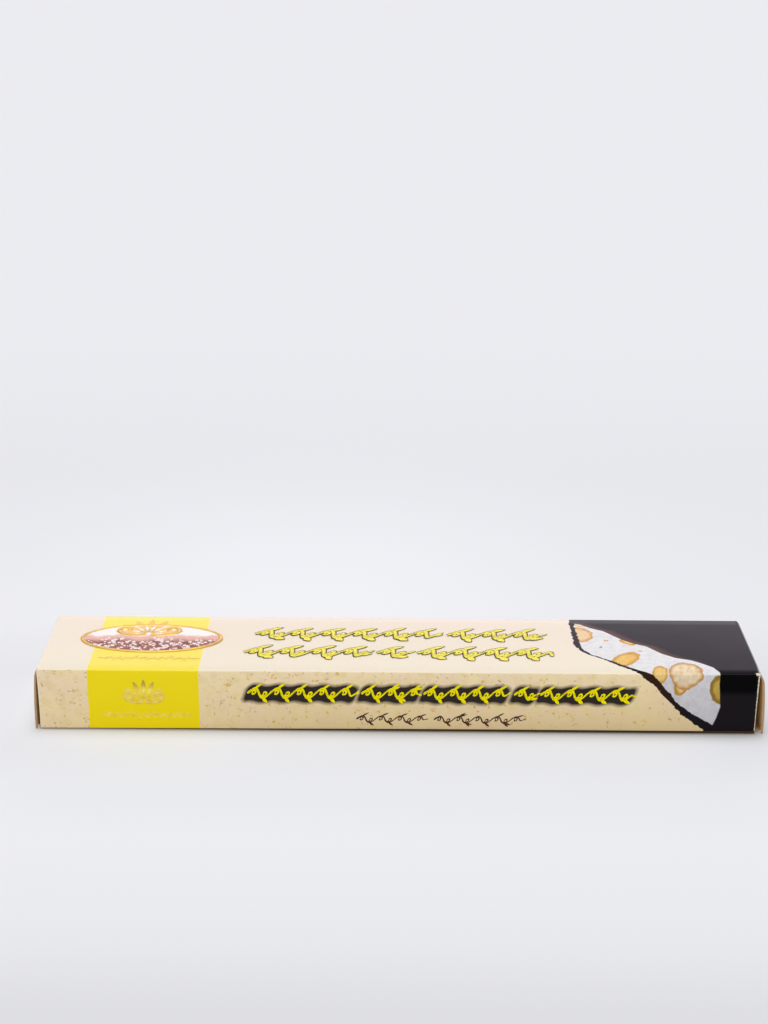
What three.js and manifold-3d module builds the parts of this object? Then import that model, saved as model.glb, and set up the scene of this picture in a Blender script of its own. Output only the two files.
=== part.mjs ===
// A slim tuck-end carton of folded paperboard, shut and lying on its large bottom panel.
// Millimetres, +X along the carton, +Y to its back panel, +Z up, origin at the middle of its base.
import * as THREE from 'three';
import { mergeVertices } from 'three/addons/utils/BufferGeometryUtils.js';
import Module from 'manifold-3d';

const wasm = await Module();
wasm.setup();

// Driving dimensions: the box between its panels and end creases
const panelLength = 210;
const depth = 38;
const height = 19.5;

// The board and its folds
const board = 0.45;
const longFoldRadius = 0.6;
const flapFoldRadius = 0.46;
const flapSetback = 0.05; // side panels end this far inside the crease of the top panel
const arcSteps = 6;

// The glued seam low on the front: the front panel laps the glue flap and its cut edge stops short
const seamHeight = 0.7;

// The lids hinge on the ends of the top panel, hang outside the dust flaps and tuck in at the bottom
const lidSideGap = 0.65;
const creaseStart = 0.5; // the top panel begins to bend this far before the crease
const lidRoot = 0.4; // each lid is one with the top panel from this far before the bend
const creaseDrop = 3.2; // height over which a lid swings out from its crease
const creaseHold = 0.6; // share of that height by which the lid has taken its lean
const tuckClearance = 0.1; // air between a tuck flap and the bottom panel
const tuckFoldRadius = 0.95;
const tuckShoulder = 1.4; // a tuck flap is narrower than its lid by this much at each side
const shoulderSlit = 0.15; // cut between a tuck fold and the free corner beside it
const footStraight = 0.4; // a lid is straight for this height above its tuck fold
const tuckBite = 1.5; // a tuck flap is followed this far into the box
const lidFoot = 0.35; // the free corners of a lid end this high above the floor
const curveSteps = 10;

// How far each lid stands off the crease at its top, and how much further at its bottom
const lids = {
    left: { side: -1, standOff: 0.85, lean: 0.55 },
    right: { side: 1, standOff: 1.65, lean: 0.8 },
};

const creaseX = panelLength / 2;
const leftReach = creaseX + lids.left.standOff + lids.left.lean;
const rightReach = creaseX + lids.right.standOff + lids.right.lean;
const middleX = (rightReach - leftReach) / 2;
const tuckUnderside = board + tuckClearance;
const foldTop = tuckUnderside + tuckFoldRadius;

// A closed mesh geometry becomes a solid that can be joined and cut
function solidFrom(geometry) {
    const bare = geometry.clone();
    bare.deleteAttribute('normal');
    bare.deleteAttribute('uv');
    const merged = mergeVertices(bare, 1e-4);
    const vertProperties = new Float32Array(merged.attributes.position.array);
    const triVerts = new Uint32Array(merged.index.array);
    return new wasm.Manifold(new wasm.Mesh({ numProp: 3, vertProperties, triVerts }));
}

function geometryFrom(solid) {
    const mesh = solid.getMesh();
    const geometry = new THREE.BufferGeometry();
    geometry.setAttribute('position', new THREE.BufferAttribute(mesh.vertProperties, 3));
    geometry.setIndex(new THREE.BufferAttribute(mesh.triVerts, 1));
    geometry.computeVertexNormals();
    return geometry;
}

// The section across the carton, drawn in Y and Z: four folds, and the lapped seam beside the lowest
function sectionShape() {
    const front = -depth / 2;
    const flap = front + board;
    const back = depth / 2;
    const r = longFoldRadius;
    const shape = new THREE.Shape();
    shape.moveTo(flap + r, 0);
    shape.lineTo(back - r, 0);
    shape.absarc(back - r, r, r, -Math.PI / 2, 0, false);
    shape.lineTo(back, height - r);
    shape.absarc(back - r, height - r, r, 0, Math.PI / 2, false);
    shape.lineTo(front + r, height);
    shape.absarc(front + r, height - r, r, Math.PI / 2, Math.PI, false);
    shape.lineTo(front, seamHeight);
    shape.lineTo(flap, seamHeight);
    shape.lineTo(flap, r);
    shape.absarc(flap + r, r, r, Math.PI, Math.PI * 1.5, false);
    return shape;
}

// The section carried along the carton between two places on X
function sectionSolid(fromX, toX) {
    const geometry = new THREE.ExtrudeGeometry(sectionShape(), {
        depth: toX - fromX,
        bevelEnabled: false,
        curveSegments: arcSteps,
    });
    const axes = new THREE.Matrix4().makeBasis(
        new THREE.Vector3(0, 1, 0),
        new THREE.Vector3(0, 0, 1),
        new THREE.Vector3(1, 0, 0),
    );
    geometry.applyMatrix4(axes);
    geometry.translate(fromX, 0, 0);
    return solidFrom(geometry);
}

// The plan of the box, with the upright folds that turn the side panels into dust flaps
function planSolid() {
    const x = creaseX - flapSetback;
    const y = depth / 2;
    const r = flapFoldRadius;
    const shape = new THREE.Shape();
    shape.moveTo(-x + r, -y);
    shape.lineTo(x - r, -y);
    shape.absarc(x - r, -y + r, r, -Math.PI / 2, 0, false);
    shape.lineTo(x, y - r);
    shape.absarc(x - r, y - r, r, 0, Math.PI / 2, false);
    shape.lineTo(-x + r, y);
    shape.absarc(-x + r, y - r, r, Math.PI / 2, Math.PI, false);
    shape.lineTo(-x, -y + r);
    shape.absarc(-x + r, -y + r, r, Math.PI, Math.PI * 1.5, false);
    const geometry = new THREE.ExtrudeGeometry(shape, {
        depth: height,
        bevelEnabled: false,
        curveSegments: arcSteps,
    });
    return solidFrom(geometry);
}

// The face of a lid, in X and Z: the rolled crease, then the face, which leans and bows a little
function lidFace({ standOff, lean }) {
    const start = new THREE.Vector2(creaseX - creaseStart, height);
    const roll = new THREE.Vector2(creaseX + creaseStart, height);
    const knee = new THREE.Vector2(creaseX + standOff, height - creaseDrop);
    const foot = new THREE.Vector2(creaseX + standOff + lean, foldTop + footStraight);
    const bow = new THREE.Vector2(foot.x, (knee.y + foot.y) / 2);
    const rise = knee.clone().sub(bow).setLength(creaseDrop * creaseHold);
    const crease = new THREE.CubicBezierCurve(start, roll, knee.clone().add(rise), knee);
    const face = new THREE.QuadraticBezierCurve(knee, bow, foot);
    return [...crease.getPoints(curveSteps), ...face.getPoints(curveSteps).slice(1)];
}

// The fold at the foot of a lid and the tuck flap that runs on into the box
function tuckFace({ standOff, lean }) {
    const out = creaseX + standOff + lean;
    const start = new THREE.Vector2(out, foldTop + footStraight / 2);
    const fold = new THREE.EllipseCurve(
        out - tuckFoldRadius,
        foldTop,
        tuckFoldRadius,
        tuckFoldRadius,
        0,
        -Math.PI / 2,
        true,
    );
    const end = new THREE.Vector2(creaseX - flapSetback - tuckBite, tuckUnderside);
    return [start, ...fold.getPoints(arcSteps), end];
}

// The unit normal of one stretch of a line, pointing into the board
function inward(from, to) {
    const along = to.clone().sub(from).normalize();
    return new THREE.Vector2(along.y, -along.x);
}

// A line inside the board, the same distance from every stretch, with its corners mitred
function inset(points, distance) {
    const last = points.length - 1;
    return points.map((point, i) => {
        const before = inward(points[Math.max(i - 1, 0)], points[Math.max(i, 1)]);
        const after = inward(points[Math.min(i, last - 1)], points[Math.min(i + 1, last)]);
        const mitre = before.clone().add(after);
        return point.clone().addScaledVector(mitre, distance / (1 + before.dot(after)));
    });
}

// Board that follows a line in X and Z, and is as wide as given in Y
function boardSolid(points, width, side) {
    const outline = [...points, ...inset(points, board).reverse()];
    const mirrored = outline.map((point) => new THREE.Vector2(point.x * side, point.y));
    const geometry = new THREE.ExtrudeGeometry(new THREE.Shape(mirrored), {
        depth: width,
        bevelEnabled: false,
    });
    geometry.rotateX(Math.PI / 2);
    geometry.translate(0, width / 2, 0);
    return solidFrom(geometry);
}

// The top panel as it is, and at each end the middle of the lid's board, from its crease to the floor
function hoodEdge(lid) {
    const face = lidFace(lid);
    const middle = inset(face, board / 2);
    const foot = new THREE.Vector2(middle[middle.length - 1].x, -board);
    const edge = [new THREE.Vector2(face[0].x, height + board), ...middle, foot];
    return edge.map((point) => new THREE.Vector2(point.x * lid.side, point.y));
}

// What the box is trimmed to, so that its ends stay below the creases and inside the lids
function hoodSolid() {
    const shape = new THREE.Shape([...hoodEdge(lids.right), ...hoodEdge(lids.left).reverse()]);
    const geometry = new THREE.ExtrudeGeometry(shape, { depth: depth + 2 * board, bevelEnabled: false });
    geometry.rotateX(Math.PI / 2);
    geometry.translate(0, depth / 2 + board, 0);
    return solidFrom(geometry);
}

// The room that the tuck fold takes from the foot of a lid, between the lid's free corners
function footRoom(width) {
    const geometry = new THREE.BoxGeometry(2 * panelLength, width, 2 * foldTop);
    return solidFrom(geometry);
}

// One lid: a panel as wide as the box allows, with a narrower tuck flap folded in at its foot
function lidSolid(lid) {
    const lidWidth = depth - 2 * lidSideGap;
    const tuckWidth = lidWidth - 2 * tuckShoulder;
    const root = new THREE.Vector2(creaseX - creaseStart - lidRoot, height);
    const face = lidFace(lid);
    const foot = new THREE.Vector2(creaseX + lid.standOff + lid.lean, lidFoot);
    const panel = boardSolid([root, ...face, foot], lidWidth, lid.side);
    const tuck = boardSolid(tuckFace(lid), tuckWidth, lid.side);
    return panel.subtract(footRoom(tuckWidth + 2 * shoulderSlit)).add(tuck);
}

function cartonGeometry() {
    const box = sectionSolid(-creaseX, creaseX).intersect(planSolid()).intersect(hoodSolid());
    const ends = lidSolid(lids.left).add(lidSolid(lids.right));
    const geometry = geometryFrom(box.add(ends));
    geometry.translate(-middleX, 0, 0);
    return geometry;
}

const printedBoard = new THREE.MeshStandardMaterial({ color: 0xf4e6cb, roughness: 0.42, metalness: 0 });

const carton = new THREE.Mesh(cartonGeometry(), printedBoard);
carton.name = 'carton';

const model = new THREE.Group();
model.add(carton);

export default model;
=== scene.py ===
# %% [markdown]
# # A nougat bar carton
#
# A bar of soft nougat is sold in a slim carton of folded board, printed and varnished. This file
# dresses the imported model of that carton: it rebuilds the board with its folds, lids and cut
# edges, prints it, and lights it on a pale floor.
#
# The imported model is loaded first, as a fixed frame. Every size below is read from it or stated in
# millimetres, and is turned into metres where a mesh is made.

# %% Loading the frame
import math

import bmesh
import bpy
from mathutils import Matrix, Vector
from mathutils.bvhtree import BVHTree


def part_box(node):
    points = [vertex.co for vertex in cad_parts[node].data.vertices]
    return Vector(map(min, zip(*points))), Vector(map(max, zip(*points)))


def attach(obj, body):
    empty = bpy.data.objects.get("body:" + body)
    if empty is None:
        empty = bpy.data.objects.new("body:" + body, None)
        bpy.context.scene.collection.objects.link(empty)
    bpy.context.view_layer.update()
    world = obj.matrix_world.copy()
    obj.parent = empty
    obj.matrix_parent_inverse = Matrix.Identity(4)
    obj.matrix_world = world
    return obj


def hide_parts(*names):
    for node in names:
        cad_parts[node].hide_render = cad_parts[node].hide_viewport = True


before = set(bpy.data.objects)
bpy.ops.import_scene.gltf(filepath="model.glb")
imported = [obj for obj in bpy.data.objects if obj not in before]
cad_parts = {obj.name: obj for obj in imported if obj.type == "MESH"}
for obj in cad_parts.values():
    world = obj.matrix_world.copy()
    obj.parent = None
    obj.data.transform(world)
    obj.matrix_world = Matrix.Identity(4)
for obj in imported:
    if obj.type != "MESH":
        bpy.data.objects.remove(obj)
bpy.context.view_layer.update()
MM = 0.001
low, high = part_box("carton")
print("carton box in mm", [round(v / MM, 2) for v in (high - low)])

# %% [markdown]
# ## Sizes of the carton
#
# The box has the depth and height of the frame. Its length between the end creases is less than
# the frame's, because both lids stand off a little. These values say how the board is folded, so
# that each later step can work out its shape from them.

# %% Sizes in millimetres
LENGTH = 210.0
DEPTH = (high.y - low.y) / MM
HEIGHT = (high.z - low.z) / MM
BOARD = 0.45
FOLD = 0.42
FLAP_FOLD = 0.46
SEAM = 0.7
LIDS = {"left": (-1, 0.85, 0.55), "right": (1, 1.65, 0.8)}
SHIFT = (LIDS["left"][1] + LIDS["left"][2] - LIDS["right"][1] - LIDS["right"][2]) / 2
print("length", LENGTH, "depth", round(DEPTH, 2), "height", round(HEIGHT, 2), "shift", round(SHIFT, 3))

# %% [markdown]
# ## The camera
#
# The photograph looks along the carton's short side from a little above. The place and turn of the
# camera come from the carton's own edges: six corners are enough to find them. A camera is turned
# in three plain steps, first its heading, then its pitch, and last its roll about its own line of
# sight.

# %% Camera
CAMERA_PLACE = (-4.1, -481.0, 245.5)
CAMERA_PITCH = 20.89
CAMERA_HEADING = 0.10
CAMERA_ROLL = 0.39
FOCAL_PIXELS = 1766
LONG_SIDE_PIXELS = 1024
SENSOR = 36
CLIP_NEAR, CLIP_FAR = 0.01, 100


def placed_object(name, data):
    """An object with this data, linked to the scene."""
    made = bpy.data.objects.new(name, data)
    bpy.context.scene.collection.objects.link(made)
    return made


camera = placed_object("camera", bpy.data.cameras.new("camera"))
camera.data.sensor_width = SENSOR
camera.data.lens = FOCAL_PIXELS / LONG_SIDE_PIXELS * SENSOR
camera.data.clip_start = CLIP_NEAR
camera.data.clip_end = CLIP_FAR
heading = Matrix.Rotation(math.radians(CAMERA_HEADING), 4, "Z")
pitch = Matrix.Rotation(math.radians(90 - CAMERA_PITCH), 4, "X")
roll = Matrix.Rotation(math.radians(CAMERA_ROLL), 4, "Z")
camera.matrix_world = Matrix.Translation(Vector(CAMERA_PLACE) * MM) @ heading @ pitch @ roll
bpy.context.scene.camera = camera
print("lens", round(camera.data.lens, 2), "mm")

# %% [markdown]
# ## Node trees
#
# Surfaces and ornaments are built from nodes, and the two classes below write them. Adding two
# values makes a node that adds, so that a pattern reads like the sum that it is. A line that
# follows no formula is held by the few points of a Float Curve.

# %% Values and trees
class Value:
    """The output of a node. It can be reckoned with like a number, and each step adds a node."""

    def __init__(self, tree, socket):
        self.tree = tree
        self.socket = socket

    def __add__(self, other):
        return self.tree.math("ADD", self, other)

    def __sub__(self, other):
        return self.tree.math("SUBTRACT", self, other)

    def __rsub__(self, other):
        return self.tree.math("SUBTRACT", other, self)

    def __mul__(self, other):
        return self.tree.math("MULTIPLY", self, other)

    def __truediv__(self, other):
        return self.tree.math("DIVIDE", self, other)

    def __pow__(self, other):
        return self.tree.math("POWER", self, other)

    def __abs__(self):
        return self.tree.math("ABSOLUTE", self)


class Tree:
    """Adds nodes to a node tree, and joins them as they are made."""

    def __init__(self, tree):
        self.tree = tree

    def node(self, kind, inputs=None, **fields):
        made = self.tree.nodes.new(kind)
        for name, value in fields.items():
            setattr(made, name, value)
        self.feed(made, inputs or {})
        return made

    def read(self, kind, output=0, inputs=None, **fields):
        """One output of a new shader node, which is the first unless another is asked for."""
        return Value(self, self.node("ShaderNode" + kind, inputs, **fields).outputs[output])

    def feed(self, node, inputs):
        """Gives inputs of a node what they need: a number, a colour or the output of a node."""
        for key, value in inputs.items():
            if isinstance(value, Value):
                value = value.socket
            if isinstance(value, bpy.types.NodeSocket):
                self.tree.links.new(value, node.inputs[key])
            else:
                node.inputs[key].default_value = value

    def math(self, operation, *values, clamp=False):
        return self.read("Math", 0, dict(enumerate(values)), operation=operation, use_clamp=clamp)

    def vector(self, operation, *values):
        output = "Value" if operation == "LENGTH" else "Vector"
        return self.read("VectorMath", output, dict(enumerate(values)), operation=operation)

    def scaled(self, vector, factor):
        return self.read("VectorMath", 0, {0: vector, "Scale": factor}, operation="SCALE")

    def combine(self, x=0.0, y=0.0, z=0.0):
        return self.read("CombineXYZ", 0, {0: x, 1: y, 2: z})

    def separate(self, vector):
        made = self.node("ShaderNodeSeparateXYZ", {0: vector})
        return [Value(self, socket) for socket in made.outputs]

    def mix(self, mask, under, over):
        return self.read("Mix", 2, {0: mask, 6: under, 7: over}, data_type="RGBA")

    def line(self, value, points, smooth=False):
        """What a line through these points (value, result) gives, drawn by a Float Curve."""
        lows = [min(p[i] for p in points) for i in (0, 1)]
        spans = [max(p[i] for p in points) - lows[i] for i in (0, 1)]
        share = self.math("DIVIDE", value - lows[0], spans[0], clamp=True)
        made = self.node("ShaderNodeFloatCurve", {"Value": share})
        curve = made.mapping.curves[0]
        places = sorted(((a - lows[0]) / spans[0], (b - lows[1]) / spans[1]) for a, b in points)
        while len(curve.points) < len(places):
            curve.points.new(0.5, 0.5)
        for point, place in zip(curve.points, places):
            point.location = place
            point.handle_type = "AUTO_CLAMPED" if smooth else "VECTOR"
        made.mapping.update()
        return Value(self, made.outputs[0]) * spans[1] + lows[1]


def new_material(name, kind):
    """A material, its nodes as a tree of the kind asked for, and its shader."""
    made = bpy.data.materials.new(name)
    made.use_nodes = True
    return made, kind(made.node_tree), made.node_tree.nodes["Principled BSDF"]


# %% [markdown]
# ## Table and light
#
# The carton was photographed on a white table that is lit from below as well as from above. That
# is why almost no shadow lies round it: only a thin dark line where it meets the table. The table
# here glows a little by itself, most of all behind the carton, and less towards its front edge.

# %% Table
TABLE_RADIUS = 6.0
TABLE_SIDES = 96
TABLE_COLOUR = (0.5, 0.505, 0.52, 1)
TABLE_ROUGHNESS = 0.9
GLOW_COLOUR = (0.965, 0.98, 1.03, 1)
GLOW_ALONG_Y = [
    (-0.32, 0.18), (-0.15, 0.25), (-0.127, 0.32), (-0.107, 0.345), (-0.08, 0.36), (-0.05, 0.35),
    (-0.03, 0.305), (0.02, 0.305), (0.06, 0.345), (0.095, 0.33), (0.2, 0.315), (0.4, 0.35),
]
HOT_SPOT = (-0.03, 0.085)
HOT_SPOT_REACH = 0.1
HOT_SPOT_GLOW = 0.075
# Reach, depth and tint of the painted contact shadow round the carton's foot.
CONTACT_SHADOW_REACH = 2.9
PAINTED_CONTACT_SHADOW_DEPTH = [(-105, 0.2), (-55, 0.4), (-25, 0.62), (0, 0.75), (60, 0.8), (105, 0.84)]
PAINTED_CONTACT_SHADOW_COLOUR = (1.0, 0.86, 0.66, 1)

table_mesh = bmesh.new()
bmesh.ops.create_circle(table_mesh, cap_ends=True, segments=TABLE_SIDES, radius=TABLE_RADIUS)
table_data = bpy.data.meshes.new("table")
table_mesh.to_mesh(table_data)
table_mesh.free()
table = placed_object("table", table_data)
table_material, lit, table_shader = new_material("lit_table", Tree)
place = lit.read("TexCoord", "Object")
depth_y = lit.separate(place)[1]
away = lit.vector("LENGTH", lit.vector("SUBTRACT", place, (*HOT_SPOT, 0.0)))
near_spot = lit.math("EXPONENT", away ** 2.0 * (-1 / HOT_SPOT_REACH ** 2))
glow = near_spot * HOT_SPOT_GLOW + lit.line(depth_y, GLOW_ALONG_Y)

# Right beside the carton, a painted contact shadow dims the table's glow and tints it brown; it is
# deeper towards the right end.
in_mm = lit.scaled(place, 1 / MM)
beside = lit.vector("ABSOLUTE", lit.vector("SUBTRACT", in_mm, (SHIFT, 0.0, 0.0)))
beside = lit.vector("SUBTRACT", beside, (LENGTH / 2, DEPTH / 2, 0.0))
off = lit.vector("LENGTH", lit.vector("MAXIMUM", beside, (0.0, 0.0, 0.0)))
contact_shadow_falloff = lit.math("EXPONENT", off / -CONTACT_SHADOW_REACH)
shade = contact_shadow_falloff * lit.line(lit.separate(in_mm)[0], PAINTED_CONTACT_SHADOW_DEPTH)
lit.feed(table_shader, {
    "Base Color": TABLE_COLOUR, "Roughness": TABLE_ROUGHNESS, "Specular IOR Level": 0.0,
    "Emission Strength": glow * (1.0 - shade),
    "Emission Color": lit.mix(contact_shadow_falloff ** 2.0, GLOW_COLOUR, PAINTED_CONTACT_SHADOW_COLOUR),
})
table_data.materials.append(table_material)
print("table radius", TABLE_RADIUS, "m, glow", GLOW_ALONG_Y[-1][1])

# %% [markdown]
# A wide lamp straight overhead lights the top panel. The room gives the rest: a bright screen low
# behind the carton, which the varnish of the top panel mirrors, and a pale low wall on the
# camera's side, which lights the front panel softly.

# %% Lamp and room
LAMP_STRENGTH = 2.1
LAMP_WIDTH = 40
SCREEN_LIGHT = [
    (0.0, 0.9), (0.22, 1.2), (0.36, 3.3), (0.38, 3.3),
    (0.45, 0.9), (0.5, 0.3), (0.56, 0.06), (1.0, 0.06),
]
SCREEN_EDGE = [(0.35, 1.0), (0.55, 0.0)]
BEHIND_EDGE = [(-0.25, 0.0), (0.25, 1.0)]
BACK_LIGHT = 0.15
ROOM_RED, ROOM_GREEN, ROOM_GREEN_BEHIND = 0.98, 0.985, 0.885
CAMERA_SIDE_LIGHT = [(0.0, 0.95), (0.45, 0.95), (0.6, 0.15), (1.0, 0.15)]

lamp_data = bpy.data.lights.new("overhead", "SUN")
lamp_data.energy = LAMP_STRENGTH
lamp_data.angle = math.radians(LAMP_WIDTH)
lamp = placed_object("overhead", lamp_data)
lamp.location = (0.0, 0.0, 1.5)

world = bpy.data.worlds.new("room")
bpy.context.scene.world = world
world.use_nodes = True
world.node_tree.nodes.clear()
room = Tree(world.node_tree)
sideways, backwards, up = room.separate(room.read("TexCoord", "Generated"))
behind = room.line(backwards, BEHIND_EDGE, smooth=True)
screen = room.line(up, SCREEN_LIGHT) * room.line(abs(sideways), SCREEN_EDGE, smooth=True)
back = room.math("MAXIMUM", screen, BACK_LIGHT)
camera_side = room.line(up, CAMERA_SIDE_LIGHT)
strength = behind * (back - camera_side) + camera_side
tint = room.combine(ROOM_RED, behind * (ROOM_GREEN_BEHIND - ROOM_GREEN) + ROOM_GREEN, 1.0)
background = room.read("Background", 0, {"Color": tint, "Strength": strength})
room.node("ShaderNodeOutputWorld", {"Surface": background})
bpy.context.scene.view_settings.view_transform = "Standard"
print("lamp", LAMP_STRENGTH, "W/m2,", LAMP_WIDTH, "degrees wide")

# %% [markdown]
# ## The folded board
#
# The box is a section carried along its length. The section has four rounded folds and one seam:
# low on the front, the front panel laps a glue flap, and its cut edge stops short of the floor.
# Each point also gets a place on the flat blank, counted in millimetres from the fold between
# front and top, because the print is drawn on the blank and wraps round with it.

# %% Section of the box
def arc(centre, radius, start, end, steps):
    """Points on an arc between two directions in degrees."""
    angles = [math.radians(start + (end - start) * i / steps) for i in range(steps + 1)]
    return [(centre[0] + radius * math.cos(a), centre[1] + radius * math.sin(a)) for a in angles]


def stretch(start, end, step):
    """Points from start to end, without the end points, about a step apart."""
    span = Vector(end) - Vector(start)
    count = max(1, round(span.length / step))
    return [tuple(Vector(start) + span * i / count) for i in range(1, count)]


FOLD_STEPS = 6
PANEL_STEPS = {"top": 3.0, "back": 3.0, "bottom": 3.0, "front": 0.4}


def section():
    """The outline in Y and Z, from the foot of the glue flap round by the back to the cut edge."""
    front, back = -DEPTH / 2, DEPTH / 2
    flap = front + BOARD
    panels = [
        ("bottom", (flap + FOLD, FOLD), 180), ("back", (back - FOLD, FOLD), -90),
        ("top", (back - FOLD, HEIGHT - FOLD), 0), ("front", (front + FOLD, HEIGHT - FOLD), 90),
    ]
    folds = [arc(centre, FOLD, start, start + 90, FOLD_STEPS) for _, centre, start in panels]
    ends = [fold[0] for fold in folds[1:]] + [(front, SEAM)]
    points = []
    for (panel, _, _), fold, end in zip(panels, folds, ends):
        points += fold + stretch(fold[-1], end, PANEL_STEPS[panel])
    return points + [(front, SEAM), (flap, SEAM)]


SECTION = section()
print("section of", len(SECTION), "points")

# %% [markdown]
# The lids hang from creases at both ends of the top panel. Seen from the side, a lid rolls over
# its crease, leans out and bows a little, and turns in at its foot to tuck into the box. A line of
# points for the outer face is enough, since the inner face is the same line one board further in.

# %% Line of a lid
CREASE_START = 0.16
CREASE_DROP = 3.2
CREASE_HOLD = 0.6
TUCK_FOLD = 0.95
TUCK_UNDERSIDE = BOARD + 0.1
FOLD_TOP = TUCK_UNDERSIDE + TUCK_FOLD
FOOT_STRAIGHT = 0.4
LID_FOOT = 0.1


def bezier(points, steps):
    """A Bezier curve of three or four controls, by sliding points along its polygon's lines."""
    made = []
    for i in range(steps + 1):
        line = [Vector(p) for p in points]
        while len(line) > 1:
            line = [a.lerp(b, i / steps) for a, b in zip(line, line[1:])]
        made.append(line[0])
    return made


def lid_face(stand_off, lean):
    """The outer face in X and Z, from the top panel to the straight above the tuck fold."""
    crease = LENGTH / 2
    start = Vector((crease - CREASE_START, HEIGHT))
    over = Vector((crease + CREASE_START, HEIGHT))
    knee = Vector((crease + stand_off, HEIGHT - CREASE_DROP))
    foot = Vector((crease + stand_off + lean, FOLD_TOP + FOOT_STRAIGHT))
    bow = Vector((foot.x, (knee.y + foot.y) / 2))
    above = knee + (knee - bow).normalized() * CREASE_DROP * CREASE_HOLD
    return bezier((start, over, above, knee), 14) + bezier((knee, bow, foot), 16)[1:]


def inset(points, distance):
    """The same line further inside the board, with its corners mitred."""
    normals = []
    for a, b in zip(points, points[1:]):
        along = (b - a).normalized()
        normals.append(Vector((along.y, -along.x)))
    before, after = [normals[0], *normals], [*normals, normals[-1]]
    return [p + (m + n) * distance / (1 + m.dot(n)) for p, m, n in zip(points, before, after)]


def tuck_fold(out):
    """The fold at the foot of a lid that stands this far out."""
    return [Vector(p) for p in arc((out - TUCK_FOLD, FOLD_TOP), TUCK_FOLD, 0, -90, 8)]


for name, (side, stand_off, lean) in LIDS.items():
    print(name, "lid reaches", round(lid_face(stand_off, lean)[-1].x, 2), "mm from the middle")


# %% [markdown]
# ## The box
#
# A loft joins one ring of points to the next along the carton. Near both ends the rings are held
# inside two limits: the upright folds of the dust flaps, seen from above, and the underside of the
# lid's crease. Filled board swells, so the panels stand out a little in their middle. The front
# panel was glued on slightly askew, which is why its cut edge rises towards the right. Near the lids
# the ends of the side panels are pulled outwards a little.

# %% Lofting the box
BOW = {"top": 0.22, "front": 0.38, "back": 0.38}
SEAM_LINE = [(-105, 0.55), (0, 1.0), (60, 1.15), (105, 1.15)]
FLAP_PLANE = LENGTH / 2 - 0.05
MOST_ROUNDING = 0.44
FLARE = 0.5
FLARE_FROM = 0.3
FLAT_END = 1.5


def fade(x):
    """1 along the carton's middle, and 0 at its end creases."""
    return max(0.0, 1 - abs(x / (LENGTH / 2 - FLAT_END)) ** 8)


def swell(panel, x, across):
    """How far a panel stands out at x, where across runs from -1 to 1 between its folds."""
    return BOW[panel] * fade(x) * max(0.0, 1 - across**2)


def near(a, b):
    return abs(a - b) < 0.001


def across_top(y):
    return y / (DEPTH / 2 - FOLD)


def across_side(z):
    return (z - HEIGHT / 2) / (HEIGHT / 2 - FOLD)


def roof(x):
    """The height to which the box reaches at x, under the middle of the lid's board."""
    _, stand_off, lean = LIDS["left" if x < 0 else "right"]
    line = inset(lid_face(stand_off, lean), BOARD / 2)
    for a, b in zip(line, line[1:]):
        if a.x <= abs(x) <= b.x:
            return a.lerp(b, (abs(x) - a.x) / (b.x - a.x)).y
    return HEIGHT


def seam_height(x):
    """The height of the front panel's cut edge at x."""
    for (start, here), (end, there) in zip(SEAM_LINE, SEAM_LINE[1:]):
        if x <= end:
            break
    return here + (there - here) * (min(x, end) - start) / (end - start)


def ring(x):
    """The section as it is at x, swollen, and held inside the ends' rounding."""
    past = max(0.0, abs(x) - (FLAP_PLANE - FLAP_FOLD))
    hold = min(MOST_ROUNDING, FLAP_FOLD - math.sqrt(max(0.0, FLAP_FOLD**2 - past**2)))
    ceiling = roof(x)
    seam = seam_height(x)
    points = []
    for y, z in SECTION:
        if near(z, HEIGHT):
            z += swell("top", x, across_top(y))
        elif near(z, SEAM):
            z = seam
        elif near(y, -DEPTH / 2):
            y -= swell("front", x, across_side(z))
        elif near(y, DEPTH / 2):
            y += swell("back", x, across_side(z))
        if past:
            y = max(-DEPTH / 2 + hold, min(DEPTH / 2 - hold, y))
        z = min(z, ceiling)
        flare = FLARE * max(0.0, z / HEIGHT - FLARE_FROM) ** 2 * min(1.0, past / FLAP_FOLD)
        points.append(Vector((x + math.copysign(flare, x), y, z)))
    return points


def solid(name, vertices, faces):
    """A closed mesh object in metres, with its doubles merged and its faces turned outwards."""
    data = bpy.data.meshes.new(name)
    data.from_pydata([Vector(v) * MM for v in vertices], [], faces)
    shape = bmesh.new()
    shape.from_mesh(data)
    bmesh.ops.remove_doubles(shape, verts=shape.verts, dist=1e-7)
    bmesh.ops.dissolve_degenerate(shape, edges=shape.edges, dist=1e-7)
    bmesh.ops.recalc_face_normals(shape, faces=shape.faces)
    shape.to_mesh(data)
    shape.free()
    return placed_object(name, data)


def loft(name, rings):
    size = len(rings[0])
    faces = []
    for i in range(len(rings) - 1):
        for j in range(size):
            k = (j + 1) % size
            faces.append((i * size + j, i * size + k, (i + 1) * size + k, (i + 1) * size + j))
    faces.append(tuple(range(size)))
    faces.append(tuple(range((len(rings) - 1) * size, len(rings) * size)))
    return solid(name, [p for points in rings for p in points], faces)


MIDDLE_STATIONS = [x * 4.0 for x in range(26)]
END_STATIONS = [102.5, 103.5, 104.3, 104.5, 104.62, 104.74, 104.84, 104.91, 104.94, FLAP_PLANE]
stations = MIDDLE_STATIONS + END_STATIONS
stations = [-x for x in reversed(stations[1:])] + stations
board = loft("carton_board", [ring(x) for x in stations])
print("box of", len(stations), "rings,", len(board.data.polygons), "faces")

# %% [markdown]
# ## The lids
#
# Each lid is a strip of board that follows its line. It is a little narrower than the box, its
# tuck flap is narrower still, and two free corners beside the tuck reach down almost to the floor.
# These strips overlap the top panel and one another, and a boolean joins them into one closed
# skin, as the real board is one sheet.

# %% Cutting and joining the lids
LID_GAP = 0.3
LID_WIDTH = DEPTH - 2 * LID_GAP
TUCK_SHOULDER = 1.4
TUCK_WIDTH = LID_WIDTH - 2 * TUCK_SHOULDER
LID_ROOT = 0.4
SLIT = 0.15
TUCK_BITE = 1.5


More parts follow.
